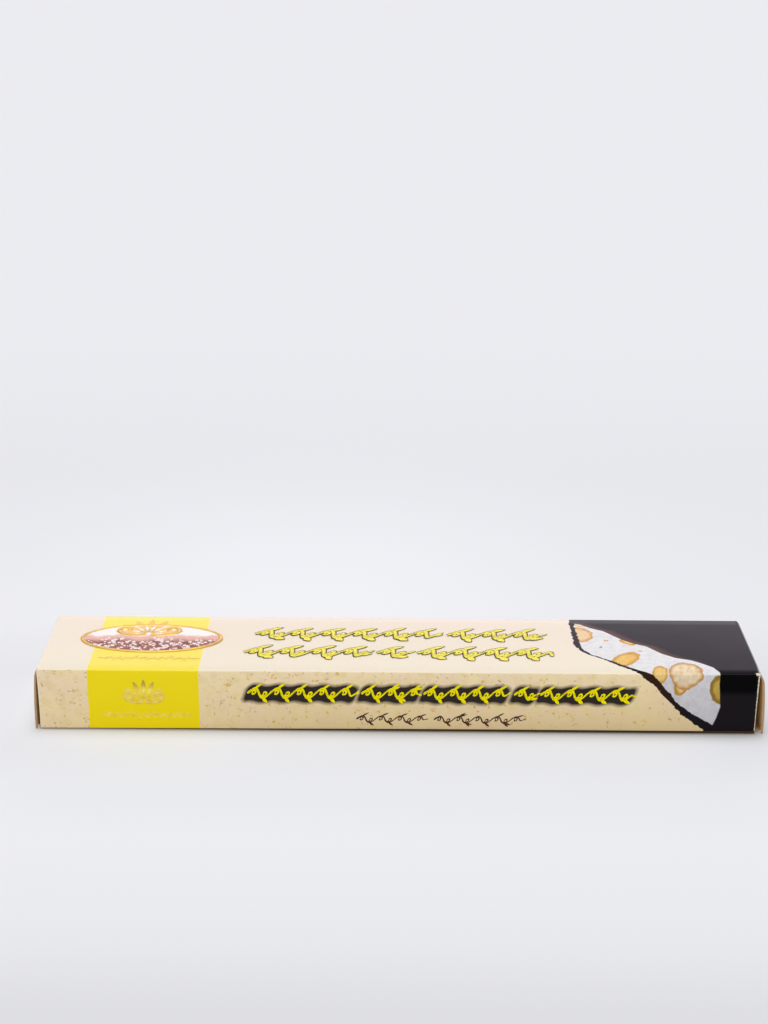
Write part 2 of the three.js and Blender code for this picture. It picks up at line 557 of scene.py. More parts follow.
def strip(name, line, side, low_y, high_y):
    """Board along a line in X and Z, from one place on Y to another."""
    outline = [Vector(p) for p in line] + list(reversed(inset([Vector(p) for p in line], BOARD)))
    count = len(outline)
    vertices = [(p.x * side, y, p.y) for y in (low_y, high_y) for p in outline]
    faces = [(i, (i + 1) % count, count + (i + 1) % count, count + i) for i in range(count)]
    half = count // 2
    for start in (0, count):
        for i in range(half - 1):
            faces.append((start + i, start + i + 1, start + count - 2 - i, start + count - 1 - i))
    return solid(name, vertices, faces)


def unite(base, other):
    joint = base.modifiers.new("joint", "BOOLEAN")
    joint.operation = "UNION"
    joint.solver = "MANIFOLD"
    joint.object = other
    evaluated = base.evaluated_get(bpy.context.evaluated_depsgraph_get())
    joined = bpy.data.meshes.new_from_object(evaluated)
    base.modifiers.remove(joint)
    base.data = joined
    bpy.data.objects.remove(other)


for side, stand_off, lean in LIDS.values():
    face = lid_face(stand_off, lean)
    out = face[-1].x
    root = [Vector((LENGTH / 2 - CREASE_START - LID_ROOT, HEIGHT))]
    tuck = tuck_fold(out) + [Vector((FLAP_PLANE - TUCK_BITE, TUCK_UNDERSIDE))]
    corner = [Vector((out, LID_FOOT))]
    wide, narrow = LID_WIDTH / 2, TUCK_WIDTH / 2
    unite(board, strip("lid", root + face + tuck, side, -narrow, narrow))
    unite(board, strip("lid", root + face, side, -wide, wide))
    unite(board, strip("corner", face[-3:] + corner, side, -wide, -narrow - SLIT))
    unite(board, strip("corner", face[-3:] + corner, side, narrow + SLIT, wide))
print("board of", len(board.data.vertices), "points,", len(board.data.polygons), "faces")
edges = bmesh.new()
edges.from_mesh(board.data)
print("open edges", sum(not e.is_manifold for e in edges.edges), "volume in cm3",
      round(edges.calc_volume() * 1e6, 2))
edges.free()

# %% [markdown]
# ## The flat blank on the folded board
#
# A printer works on the flat blank, so the print needs flat coordinates. A UV map gives every
# corner of the mesh its place there: the first number runs along the carton, and the second runs
# round it from the fold between top and front. An attribute marks the board that carries no print,
# which is its inside and its cut edges.

# %% Laying the blank out
ON_LINE, ON_RIM = 0.02, 0.01
SIDEWAYS_MOST = 0.3
FACES_END, FACES_DOWN = 0.9, 0.8
SEAM_START, SEAM_END, SEAM_TOP = 0.2, 1.2, 1.4
FOOT_START, FOOT_END = 0.2, 2.0
TOP_END = DEPTH
BACK_END = DEPTH + HEIGHT
FRONT_END = -HEIGHT
BOTTOM_END = -HEIGHT - DEPTH


def along(line, point):
    """How far along a line the point is, and how far off it, both in millimetres."""
    best = (1e9, 0.0)
    run = 0.0
    for a, b in zip(line, line[1:]):
        span = b - a
        share = max(0.0, min(1.0, (point - a).dot(span) / span.length_squared))
        best = min(best, ((point - a.lerp(b, share)).length, run + share * span.length))
        run += span.length
    return best[1], best[0]


LID_LINES = {}
for name, (side, stand_off, lean) in LIDS.items():
    face = lid_face(stand_off, lean)
    out = face[-1].x
    LID_LINES[side] = (face + tuck_fold(out), face + [Vector((out, LID_FOOT))])


def blank_place(point, normal):
    """The place on the blank of a point of the box, in millimetres."""
    x, y, z = point
    if normal.z < -0.3 or z < FOLD * 0.5:
        return x, z - HEIGHT - (y + DEPTH / 2)
    if y > DEPTH / 2 - FOLD:
        return x, DEPTH / 2 + y + HEIGHT - z
    return x, y + DEPTH / 2 - (HEIGHT - z)


def lay_out(mesh):
    """Writes the blank's coordinates and the bare mark, and returns how many faces are bare."""
    flat = mesh.uv_layers.new(name="blank")
    bare = mesh.attributes.new("bare", "FLOAT", "FACE")
    count = 0
    for polygon in mesh.polygons:
        centre = polygon.center / MM
        side = 1 if centre.x > 0 else -1
        beyond = abs(centre.x) > LENGTH / 2 - CREASE_START
        seen = Vector((abs(centre.x), centre.z))
        on_lid = beyond and min(along(line, seen)[1] for line in LID_LINES[side]) < ON_LINE
        on_lid = on_lid and abs(polygon.normal.y) < SIDEWAYS_MOST
        end = abs(polygon.normal.x) > FACES_END and abs(centre.y) < DEPTH / 2 - LID_GAP
        seam = SEAM_START < centre.y + DEPTH / 2 < SEAM_END and centre.z < SEAM_TOP
        under = polygon.normal.z < -FACES_DOWN and FOOT_START < centre.z < FOOT_END
        hidden = end or seam or under or abs(centre.x) > FLAP_PLANE + FLARE
        rim = beyond and abs(abs(centre.y) - LID_WIDTH / 2) < ON_RIM
        is_bare = rim or (hidden and not on_lid)
        count += is_bare
        bare.data[polygon.index].value = float(is_bare)
        for loop in polygon.loop_indices:
            point = mesh.vertices[mesh.loops[loop].vertex_index].co / MM
            if on_lid:
                run = along(LID_LINES[side][0], Vector((abs(point.x), point.z)))[0]
                x, s = side * (LENGTH / 2 - CREASE_START + run), point.y + DEPTH / 2
            else:
                x, s = blank_place(point, polygon.normal)
            flat.data[loop].uv = ((x + SHIFT) * MM, s * MM)
    return count


print("bare faces", lay_out(board.data), "of", len(board.data.polygons))
board.data.transform(Matrix.Translation((SHIFT * MM, 0, 0)))
board.data.shade_smooth()
board.data.set_sharp_from_angle(angle=math.radians(32))

# %% [markdown]
# A second layout is for baking the colours into one square picture: the blank fills the square,
# and the bare board has a strip of its own at the bottom.

# %% Layout for baking
BARE_STRIP = 0.12
BLANK_REACH = LENGTH / 2 + HEIGHT + 3


def lay_out_for_baking(mesh):
    made = mesh.uv_layers.new(name="OFBake")
    flat = mesh.uv_layers["blank"]
    bare = mesh.attributes["bare"]
    for polygon in mesh.polygons:
        for loop in polygon.loop_indices:
            x, s = flat.data[loop].uv / MM
            u = 0.5 + x / (2 * BLANK_REACH)
            v = (s - BOTTOM_END) / (BACK_END - BOTTOM_END)
            if bare.data[polygon.index].value > 0.5:
                point = mesh.vertices[mesh.loops[loop].vertex_index].co / MM
                u = 0.5 + (point.x + point.z * math.copysign(1, point.x)) / (3 * BLANK_REACH)
                v = (point.y + DEPTH / 2) / DEPTH * BARE_STRIP * 0.9
            else:
                v = BARE_STRIP + v * (1 - BARE_STRIP)
            made.data[loop].uv = (u, min(0.999, max(0.001, v)))
    mesh.uv_layers.active = mesh.uv_layers["blank"]


lay_out_for_baking(board.data)
print("maps", [layer.name for layer in board.data.uv_layers])

# %% [markdown]
# ## The printed board
#
# Carton board is coated white on its outside and brown-grey inside. The print is one node tree
# that reads the flat coordinates. It lays the fields over one another as a press does: a cream
# ground with golden flecks, a yellow band, and the dark coat of the nougat with its uneven edge.
# The lines that bound a field follow no formula, so a Float Curve holds their few points. Some tones
# also carry painted highlight and painted shade, as said where they are set.

# %% Colours of the print
def ink(red, green, blue):
    """A colour as printers name it, from 0 to 255, in the linear values that Blender works with."""
    def linear(value):
        value /= 255
        return value / 12.92 if value <= 0.04045 else ((value + 0.055) / 1.055) ** 2.4
    return (linear(red), linear(green), linear(blue), 1)


# The top panel's tones are paler and less saturated than the same inks on the sides: painted highlight
# for the stronger light and sheen on the top. The sides' low tones are darker: partly print, partly
# painted shade.
CREAM_TOP = ink(243, 229, 211)
CREAM_TOP_NEAR = ink(246, 236, 214)
CREAM_HIGH = ink(254, 234, 186)
CREAM_HIGH_ROSY = ink(252, 228, 192)
CREAM_LOW = ink(232, 208, 154)
CREAM_LOW_ROSY = ink(230, 203, 160)
YELLOW_TOP = ink(254, 236, 101)
YELLOW_HIGH = ink(255, 231, 32)
YELLOW_LOW = ink(248, 220, 0)
FLECK = ink(216, 168, 66)
FLECK_DARK = ink(186, 134, 64)
BLOTCH = ink(232, 208, 140)
COAT = ink(26, 22, 26)
COAT_DEEP = ink(0, 0, 0)
NOUGAT_TOP = ink(235, 235, 235)
NOUGAT_SIDE = ink(226, 223, 226)
NOUGAT_SIDE_LOW = ink(200, 198, 200)
ROAST = ink(206, 150, 56)
KERNEL = ink(250, 228, 196)
HALO = ink(14, 10, 20)
BARE = ink(200, 162, 118)
CHALK = ink(250, 236, 210)
SKIN = ink(150, 96, 40)
COAT_THIN = ink(98, 64, 56)
COAT_BROKEN = ink(52, 32, 18)
NOUGAT_MOTTLE = ink(186, 184, 187)
BARE_DARK = ink(170, 132, 96)
BARE_PAINTED_LIGHT = ink(244, 222, 178)
BARE_PAINTED_SEAM_SHADE = ink(84, 64, 34)


class Press(Tree):
    """A shader tree with the few steps from which a printed surface is built."""

    def step(self, value, edge, soft=0.15):
        """0 below the edge and 1 above it, with a soft change as wide as given."""
        return self.math("ADD", (value - edge) / soft, 0.5, clamp=True)

    def until(self, value, edge, soft=0.15):
        """1 below the edge and 0 above it."""
        return 1.0 - self.step(value, edge, soft)

    def within(self, value, low, high, soft=0.15):
        return self.step(value, low, soft) * self.until(value, high, soft)

    def noise(self, place, scale, detail=3.0, rough=0.6, output="Fac"):
        inputs = {"Vector": place, "Scale": scale, "Detail": detail, "Roughness": rough}
        return self.read("TexNoise", output, inputs)

    def spots(self, place, scale, share, largest):
        """Round soft spots, one in each cell of a Voronoi pattern that draws a high number."""
        cells = self.node("ShaderNodeTexVoronoi", {"Vector": place, "Scale": scale}).outputs
        chance = self.separate(cells["Color"])[0]
        luck = (chance - (1.0 - share)) / share
        return self.step(luck * largest - Value(self, cells["Distance"]), 0.0, largest * 0.7)

    def in_mm(self):
        """The place on the carton in millimetres, for patterns that need no unrolling."""
        return self.scaled(self.read("TexCoord", "Object"), 1 / MM)


# %% [markdown]
# A nut in the cut face of the nougat is an ellipse with a roasted rim and a pale middle. It comes
# up again and again, so it is a node group of its own, and each nut is one node with its place,
# its turn and its size.

# %% A nut as a node group
def new_group(name, kind, tree_kind, inputs, output):
    """A node group with these inputs and one output, its nodes as a tree, and what it is given."""
    group = bpy.data.node_groups.new(name, tree_kind)
    for socket, value in inputs.items():
        group.interface.new_socket(socket, in_out="INPUT", socket_type="NodeSocket" + value)
    group.interface.new_socket("Result", in_out="OUTPUT", socket_type="NodeSocket" + output)
    tree = kind(group)
    given = {socket.name: Value(tree, socket) for socket in tree.node("NodeGroupInput").outputs}
    return group, tree, given


def nut_group():
    numbers = ("Along", "Round", "Centre along", "Centre round", "Turn", "Length", "Width", "Rim")
    colours = ("Under", "Rim colour", "Middle colour")
    inputs = dict.fromkeys(numbers, "Float") | dict.fromkeys(colours, "Color")
    group, press, given = new_group("nut", Press, "ShaderNodeTree", inputs, "Color")
    away = press.combine(given["Along"] - given["Centre along"], given["Round"] - given["Centre round"])
    turned = press.read("VectorRotate", 0, {"Vector": away, "Angle": given["Turn"] * -1.0},
                        rotation_type="Z_AXIS")
    size = press.combine(given["Length"], given["Width"], 1.0)
    lumps = press.noise(press.combine(given["Along"], given["Round"]), 0.42, 2.0, 0.5) - 0.5
    reach = lumps * 0.36 + press.vector("LENGTH", press.vector("DIVIDE", turned, size))
    body = press.step(1.0 - reach, 0.0, 0.08)
    middle = press.step(1.0 - given["Rim"] - reach, 0.0, 0.22)
    grain_place = press.vector("MULTIPLY", turned, (0.35, 0.95, 1.0))
    grain_place = press.vector("ADD", grain_place, press.combine(given["Centre along"], given["Turn"]))
    grain = press.step(press.noise(grain_place, 0.9), 0.56, 0.3)
    streaked = press.mix(grain * 0.5, given["Middle colour"], given["Rim colour"])
    shade = press.mix(grain * 0.35, given["Rim colour"], SKIN)
    nut = press.mix(middle, shade, streaked)
    press.node("NodeGroupOutput", {0: press.mix(body, given["Under"], nut)})
    return group


NUT = nut_group()
print("nut group with", len(NUT.nodes), "nodes")

# %% [markdown]
# These are the places of the nuts on the blank, and the lines that bound the coat and the nougat.
# The coat's outer edge carries on over the back and the bottom, where the photograph shows
# nothing, in the way that such a wrapped print does.

# %% Places on the blank
BAND = (-90.9, -58.5)
COAT_EDGE = [
    (-57.5, 55.0), (-48.0, 60.0), (-36.0, 74.0), (-26.0, 86.5), (-18.3, 89.5), (-16.1, 86.2),
    (-13.4, 82.6), (-10.3, 79.7), (-7.5, 77.1), (-4.3, 74.5), (-1.8, 71.2), (2.5, 67.5),
    (6.6, 62.8), (9.3, 60.5), (13.2, 55.4), (15.6, 53.6), (19.0, 52.5), (27.6, 52.3),
    (37.3, 52.4), (57.5, 55.0),
]
NOUGAT_EDGE = [
    (-16.5, 91.6), (-13.9, 87.3), (-12.6, 85.0), (-9.4, 80.9), (-7.2, 79.3), (-3.5, 76.2),
    (-0.3, 73.6), (3.4, 68.4), (8.1, 63.0), (12.6, 57.2), (17.2, 54.4), (26.4, 54.0), (34.8, 53.7),
]
NOUGAT_FAR_EDGE = [
    (-16.5, 91.8), (-14.1, 92.7), (-10.6, 93.6), (-3.3, 92.9), (1.4, 93.0), (4.7, 91.6),
    (7.7, 88.3), (9.4, 85.8), (10.9, 81.5), (13.9, 77.7), (18.8, 73.9), (20.6, 70.4),
    (23.1, 67.4), (25.3, 65.5), (29.4, 62.2), (31.6, 58.4), (34.3, 55.5), (34.8, 53.7),
]
NOUGAT_ROUND = (-16.5, 34.8)
COAT_DEEP_ALONG = (92.0, 104.0)
COAT_BROKEN_ALONG = (58.0, 86.0)
# How strongly the sides darken lower down, along the carton: partly print, partly painted shade.
LOW_TONE_AND_SHADE_ALONG = [(-105, 0.4), (-60, 0.65), (-20, 1.0), (105, 1.0)]
MORE_FLECKS_ALONG = [(-100, 0.2), (-30, 0.12), (10, 0.0), (105, 0.0)]
NUTS = [
    # along, round, turn in degrees, half length, half width, rim, rim colour, middle colour
    (54.3, 26.6, 80, 5.4, 4.3, 0.22, ink(226, 170, 98), ink(242, 214, 172)),
    (55.0, 33.6, -12, 2.9, 0.8, 0.3, ROAST, KERNEL),
    (69.0, 21.6, -38, 2.9, 1.5, 0.35, ink(214, 156, 74), ink(240, 200, 120)),
    (66.3, 9.2, 52, 6.6, 3.1, 0.3, ink(222, 166, 70), ink(244, 202, 112)),
    (75.6, 0.8, 78, 4.6, 2.3, 0.25, ink(214, 164, 76), ink(244, 210, 138)),
    (82.0, -3.6, 66, 3.6, 2.2, 0.3, ink(196, 146, 66), ink(238, 208, 148)),
    (83.2, 1.2, 82, 6.4, 4.9, 0.16, ink(204, 148, 66), ink(244, 226, 192)),
    (93.6, -5.0, 90, 4.8, 3.5, 0.3, ink(150, 118, 44), ink(204, 172, 84)),
    (62.2, 22.6, 10, 0.8, 0.5, 0.5, ROAST, KERNEL),
    (60.4, 18.0, 40, 0.5, 0.4, 0.5, SKIN, ROAST),
    (71.9, 15.4, 20, 0.6, 0.5, 0.5, ROAST, KERNEL),
]
print(len(NUTS), "nuts; coat edge of", len(COAT_EDGE), "points")

# %% Ground, flecks and band
FLECK_SHARE, LARGE_FLECK_SHARE = 0.16, 0.16
FLECK_SIZE, LARGE_FLECK_SIZE = 0.36, 0.26
LARGE_FLECK_CELLS = 0.42
FLECKS_ON_SIDE, FLECKS_ON_TOP = 0.74, 0.06
SMUDGE = (2.4, 2.0, 0.0)
BLOTCH_STRENGTH = 0.45

printed, press, shader = new_material("printed_board", Press)
flat = press.scaled(press.read("UVMap", uv_map="blank"), 1 / MM)
along_x, round_s, _ = press.separate(flat)

on_front = press.within(round_s, FRONT_END, 0.0, 0.3)
on_back = press.step(round_s, TOP_END, 0.3)
on_side = press.math("ADD", on_front, on_back, clamp=True)

cloud = press.noise(flat, 0.11)
patch = press.noise(press.vector("ADD", flat, (40.0, 9.0, 0.0)), 0.3)
rosy = press.step(cloud, 0.5, 0.3)
in_mm = press.in_mm()
height = press.separate(in_mm)[2]
# Lower down, the sides turn darker and browner, more so towards the right: partly print, partly painted
# shade.
lower = press.until(height, HEIGHT / 2, HEIGHT) * press.line(along_x, LOW_TONE_AND_SHADE_ALONG)
side_cream = press.mix(lower, press.mix(rosy, CREAM_HIGH, CREAM_HIGH_ROSY),
                       press.mix(rosy, CREAM_LOW, CREAM_LOW_ROSY))
# On the top the cream is paler than on the sides: painted highlight.
top_cream = press.mix(press.step(round_s, DEPTH / 2, DEPTH), CREAM_TOP_NEAR, CREAM_TOP)
ground = press.mix(on_side, top_cream, side_cream)
ground = press.mix(press.step(patch, 0.56, 0.2) * on_side * BLOTCH_STRENGTH, ground, BLOTCH)
crowd = press.step(patch + cloud * 0.6, 0.8, 0.35)
fleck_share = crowd * 0.5 + FLECK_SHARE + press.line(along_x, MORE_FLECKS_ALONG)
smudge = press.vector("SUBTRACT", press.noise(flat, 1.1, 2.0, 0.5, "Color"), (0.5, 0.5, 0.5))
smudged = press.vector("MULTIPLY_ADD", smudge, SMUDGE, flat)
small = press.spots(smudged, 1.0, fleck_share, FLECK_SIZE)
elsewhere = press.vector("ADD", smudged, (7.0, 3.0, 0.0))
large = press.spots(elsewhere, LARGE_FLECK_CELLS, LARGE_FLECK_SHARE, LARGE_FLECK_SIZE)
strength = on_side * (FLECKS_ON_SIDE - FLECKS_ON_TOP) + FLECKS_ON_TOP
fleck_ink = press.mix(press.step(cloud, 0.57, 0.1), FLECK, FLECK_DARK)
ground = press.mix(small * strength, ground, fleck_ink)
ground = press.mix(large * strength * 0.8, ground, FLECK)
# The yellow is paler on the top, as painted highlight, and darker low on the sides, partly print and
# partly painted shade.
yellow = press.mix(on_side, YELLOW_TOP, press.mix(lower, YELLOW_HIGH, YELLOW_LOW))
band = press.within(along_x, *BAND)
colour = press.mix(band, ground, yellow)

# %% Coat, nougat and nuts
RAGGED = 2.2
BENT = 1.7
COAT_DEEP_FROM, COAT_BROKEN_FROM = -6.3, -8.0
THIN_COAT = 2.7
THIN_COAT_ROUND = (1.0, 35.5)
THIN_COAT_END = 84.0

ragged = along_x + (press.noise(flat, 0.55, 3.0, 0.65) - 0.5) * RAGGED
in_coat = press.step(ragged, press.line(round_s, COAT_EDGE), 0.22)
deep = press.step(round_s, COAT_DEEP_FROM, 1.6) * press.within(along_x, *COAT_DEEP_ALONG, 1.0)
coat = press.mix(deep * on_front, COAT, COAT_DEEP)
broken = press.step(round_s, COAT_BROKEN_FROM, 8.0) * press.within(along_x, *COAT_BROKEN_ALONG, 8.0)
coat = press.mix(broken * on_front, coat, COAT_BROKEN)

from_near_edge = press.step(ragged, press.line(round_s, NOUGAT_EDGE), 0.25)
far_edge = press.line(round_s, NOUGAT_FAR_EDGE)
in_slab = press.until(along_x, far_edge, 0.3) * press.within(round_s, *NOUGAT_ROUND, 0.2)
in_slab = in_slab * from_near_edge
thin = press.until(along_x, far_edge + THIN_COAT, 2.6) * press.within(round_s, *THIN_COAT_ROUND, 1.0)
thin = thin * from_near_edge * press.until(along_x, THIN_COAT_END, 14.0)
coat = press.mix(thin * 0.9, coat, COAT_THIN)
bent = (press.noise(flat, 0.22, 1.0, 0.4) - 0.5) * BENT
# The nougat is paler on the top, as painted highlight, and darker low on the sides, partly print and
# partly painted shade.
nougat = press.mix(on_side, NOUGAT_TOP, press.mix(lower, NOUGAT_SIDE, NOUGAT_SIDE_LOW))
mottled = press.step(press.noise(flat, 0.45, 4.0), 0.55, 0.25) * (on_side * 0.3 + 0.3)
nougat = press.mix(mottled, nougat, NOUGAT_MOTTLE)
for x, s, turn, length, width, rim, rim_colour, middle_colour in NUTS:
    nougat = press.read("Group", 0, node_tree=NUT, inputs={
        "Along": along_x + bent, "Round": round_s, "Centre along": x, "Centre round": s,
        "Turn": math.radians(turn), "Length": length, "Width": width, "Rim": rim,
        "Under": nougat, "Rim colour": rim_colour, "Middle colour": middle_colour,
    })
coat = press.mix(in_slab, coat, nougat)
colour = press.mix(in_coat, colour, coat)
print("print of", len(printed.node_tree.nodes), "nodes so far")

# %% [markdown]
# Behind the garland on the front lies a dark soft shadow, printed so that the yellow stands out.
# It follows the groups of the garland and its swing.

# %% Shadow behind the front garland
FRONT_GROUPS = [(-44.3, -12.9), (-11.1, 5.4), (7.0, 31.3), (33.4, 39.7), (41.0, 67.9)]
FRONT_ROW = -6.9
FRONT_WAVE = 6.6
FRONT_SLANT = 0.36
HALO_HALF_HEIGHT = 1.2
HALO_REACH = 1.8
HALO_SOFT = 1.3
HALO_SWING = 0.3
HALO_ROW = FRONT_ROW - 0.5
halo = 0.0
upright = along_x - (round_s - FRONT_ROW) * FRONT_SLANT
for start, end in FRONT_GROUPS:
    middle, half = (start + end) / 2, (end - start) / 2
    beyond = press.math("MAXIMUM", abs(upright - middle) - (half - 1.0), 0.0)
    swung = press.math("SINE", (upright - start) * (2 * math.pi / FRONT_WAVE)) * HALO_SWING + HALO_ROW
    above = press.math("MAXIMUM", abs(round_s - swung) - HALO_HALF_HEIGHT, 0.0)
    distance = press.vector("LENGTH", press.combine(beyond, above))
    halo = press.math("MAXIMUM", halo, press.until(distance, HALO_REACH, HALO_SOFT))
colour = press.mix(halo * on_front * 0.97, colour, HALO)

# %% [markdown]
# ## Worn edges, bare board and varnish
#
# Ink cracks where board is creased, so the folds at the ends show a broken pale line, and corners
# lose a little print. The varnish is smooth but not flat: the board's fibres and the press give it
# a very fine waviness, which a bump carries. Its shine is the same everywhere, so it stands on the
# shader's own sockets. The bare board gets painted light where it faces the ends, and painted shade
# low in the seam.

# %% Finish of the board
CREASE_SOFT = 0.14
SIDE_CRACK, TOP_CRACK = -0.1, 0.45
CORNER_INSET = 0.2
CORNER_WEAR = 3.6
SEAM_SHADE_UNDER = 1.35
VARNISH_SHINE = 0.05
VARNISH_TINT = (1.0, 0.93, 1.0, 1)
WAVINESS = 0.05 * MM
rubbed = press.noise(flat, 1.3, 3.0, 0.7) * 0.7 - 0.12
from_middle = abs(along_x - SHIFT)
side_crack = abs(from_middle - (LENGTH / 2 + SIDE_CRACK))
side_line = press.step(rubbed - side_crack, 0.0, CREASE_SOFT) * on_front
top_crack = abs(along_x - (LENGTH / 2 + SHIFT + TOP_CRACK))
top_line = press.step(rubbed - top_crack, 0.0, CREASE_SOFT)
top_line = top_line * press.until(round_s, 5.0, 4.0) * press.step(round_s, 0.0, 0.4)
corner_place = (LENGTH / 2 + SHIFT - CORNER_INSET, CORNER_INSET, 0.0)
corner = press.vector("LENGTH", press.vector("SUBTRACT", flat, corner_place))
corner_worn = press.step(rubbed * CORNER_WEAR - corner, 0.0, 0.3)
worn = press.math("MAXIMUM", press.math("MAXIMUM", side_line, top_line), corner_worn)
colour = press.mix(worn * 0.92, colour, CHALK)
fibre = press.noise(in_mm, 3.0, 3.0, 0.7)
bare_colour = press.mix(press.step(fibre, 0.5, 0.5), BARE_DARK, BARE)
# Bare board that faces along the carton is painted much lighter: painted light in the gaps at the ends.
facing_end = abs(press.separate(press.read("NewGeometry", "Normal"))[0])
bare_colour = press.mix(press.step(facing_end, 0.8, 0.2) * 0.9, bare_colour, BARE_PAINTED_LIGHT)
# Low in the seam the bare board is painted dark brown: painted shade in the recess under the front
# panel's cut edge.
painted_seam_shade = press.until(height, SEAM_SHADE_UNDER, 0.2) * press.until(from_middle, LENGTH / 2 + 0.2, 0.2)
bare_colour = press.mix(painted_seam_shade, bare_colour, BARE_PAINTED_SEAM_SHADE)
bare = press.read("Attribute", "Fac", attribute_name="bare")
waviness = fibre * bare * 0.5 + press.noise(in_mm, 0.06, 2.0, 0.5)
press.feed(shader, {
    "Base Color": press.mix(bare, colour, bare_colour),
    "Roughness": bare * 0.5 + press.noise(flat, 0.12) * 0.08 + 0.07,
    "Normal": press.read("Bump", 0, {"Height": waviness, "Strength": 0.5, "Distance": WAVINESS}),
    "Specular IOR Level": VARNISH_SHINE, "Specular Tint": VARNISH_TINT,
})
board.data.materials.clear()
board.data.materials.append(printed)
print("board print of", len(printed.node_tree.nodes), "nodes")

# %% [markdown]
# ## Drawing on the blank
#
# The ornaments are thin plates of ink and foil. They are drawn flat, in the blank's coordinates,
# and then wrapped on the carton: this function takes a place on the blank and a height above the
# print, and gives the place in space. It knows how far the filled panels swell.

# %% Wrapping a drawing on the carton
def wrapped(x, s, lift):
    """The place in metres of a blank place given in millimetres, lifted off the board."""
    local = x - SHIFT
    if s >= 0:
        y = s - DEPTH / 2
        return Vector((x, y, HEIGHT + swell("top", local, across_top(y)) + lift)) * MM
    z = HEIGHT + s
    return Vector((x, -DEPTH / 2 - swell("front", local, across_side(z)) - lift, z)) * MM


def wrap(mesh):
    for vertex in mesh.vertices:
        vertex.co = wrapped(*(vertex.co / MM))
    mesh.update()


print("middle of the top", [round(v, 5) for v in wrapped(0, DEPTH / 2, 0)])

# %% [markdown]
# ## A garland as a node tree
#
# The yellow ornament is a running garland: a stem that swings from side to side, almond leaves on
# the outside of each swing, and a tendril that curls into the inside. It follows a line and
# repeats, so Geometry Nodes grow it. The same tree, with other sizes, grows the fine brown
# flourish, the gilded sprigs and the rim of the medallion. Each guide is a line of points on the
# blank. A leafy guide swings and carries leaves, and every other guide is a tendril, which keeps
# its own line and ends in one leaf.

# %% Steps of the garland tree
SIZES = {
    "Wave": 12.0, "Swing": 2.0, "Stem": 0.9, "Tendril": 0.55, "Leaves per wave": 6.0,
    "Leaf length": 4.5, "Leaf width": 2.0, "Leaf angle": 46.0, "Bud": 0.6, "Alternate": 0.0,
    "Uneven": 0.1, "Grow": 0.0, "Lift": 0.03,
}
PLAIN_NUMBERS = ("Tendril", "Leaves per wave", "Leaf angle", "Bud", "Alternate", "Uneven")
SINK = 0.01
LEAF_CORNERS = 18


class Garden(Tree):
    """A geometry tree with the steps that the garland needs."""

    def geometry(self, kind, inputs=None, output=0, **fields):
        return Value(self, self.node("GeometryNode" + kind, inputs, **fields).outputs[output])

    def named(self, name):
        return self.geometry("InputNamedAttribute", {"Name": name}, data_type="FLOAT")

    def stored(self, geometry, **values):
        for name, value in values.items():
            inputs = {"Geometry": geometry, "Name": name, "Value": value}
            geometry = self.geometry("StoreNamedAttribute", inputs, data_type="FLOAT", domain="POINT")
        return geometry

    def moved(self, geometry, **inputs):
        return self.geometry("SetPosition", {"Geometry": geometry, **inputs})

    def risen(self, geometry, lift):
        """Moves a flat plate so that it reaches from just inside the board up to the lift."""
        return self.moved(geometry, Offset=self.combine(0.0, 0.0, (lift - SINK * MM) * 0.5))

    def disc(self, corners, lift):
        """A round plate of radius 1 that is as thick as the lift and what lies inside the board."""
        sizes = {"Vertices": corners, "Radius": 1.0, "Depth": lift + SINK * MM}
        return self.geometry("MeshCylinder", sizes)

    def here(self):
        return self.separate(self.geometry("InputPosition"))

    def heading(self, tangent):
        x, y, _ = self.separate(tangent)
        return self.math("ARCTAN2", y, x)

    def above(self, value, limit):
        return self.math("GREATER_THAN", value, limit)

    def chance(self, low, high, seed):
        inputs = {2: low, 3: high, "Seed": seed}
        return Value(self, self.node("FunctionNodeRandomValue", inputs, data_type="FLOAT").outputs[1])

    def leaf(self, length, half_width, grow, lift):
        """A closed plate with the outline of an almond, from its stalk at the origin along X."""
        x, y, z = self.here()
        forward = (x * 0.5 + 0.5) * (grow * 2.0 + length) - grow
        breadth = (grow * 1.1 + half_width) * (x * -0.3 + 1.0)
        sideways = y * abs(y) ** 0.5 * breadth
        almond = self.combine(forward, sideways, z)
        return self.risen(self.moved(self.disc(LEAF_CORNERS, lift), Position=almond), lift)

    def placed(self, leaf, points, chosen, angle, size):
        return self.geometry("InstanceOnPoints", {
            "Points": points, "Instance": leaf, "Selection": chosen,
            "Rotation": self.combine(0.0, 0.0, angle), "Scale": self.combine(size, size, 1.0),
        })

    def finish(self, geometry, material):
        """Turns copies into real faces, gives them their material and hands them over."""
        real = self.geometry("RealizeInstances", {"Geometry": geometry})
        self.node("NodeGroupOutput", {0: self.geometry("SetMaterial", {0: real, "Material": material})})


# %% [markdown]
# The tree works in three stages. It bends the guides into swinging stems, lays a flat pen stroke
# along them that is thickest at each crest, and sets leaves on the strokes and at their ends.

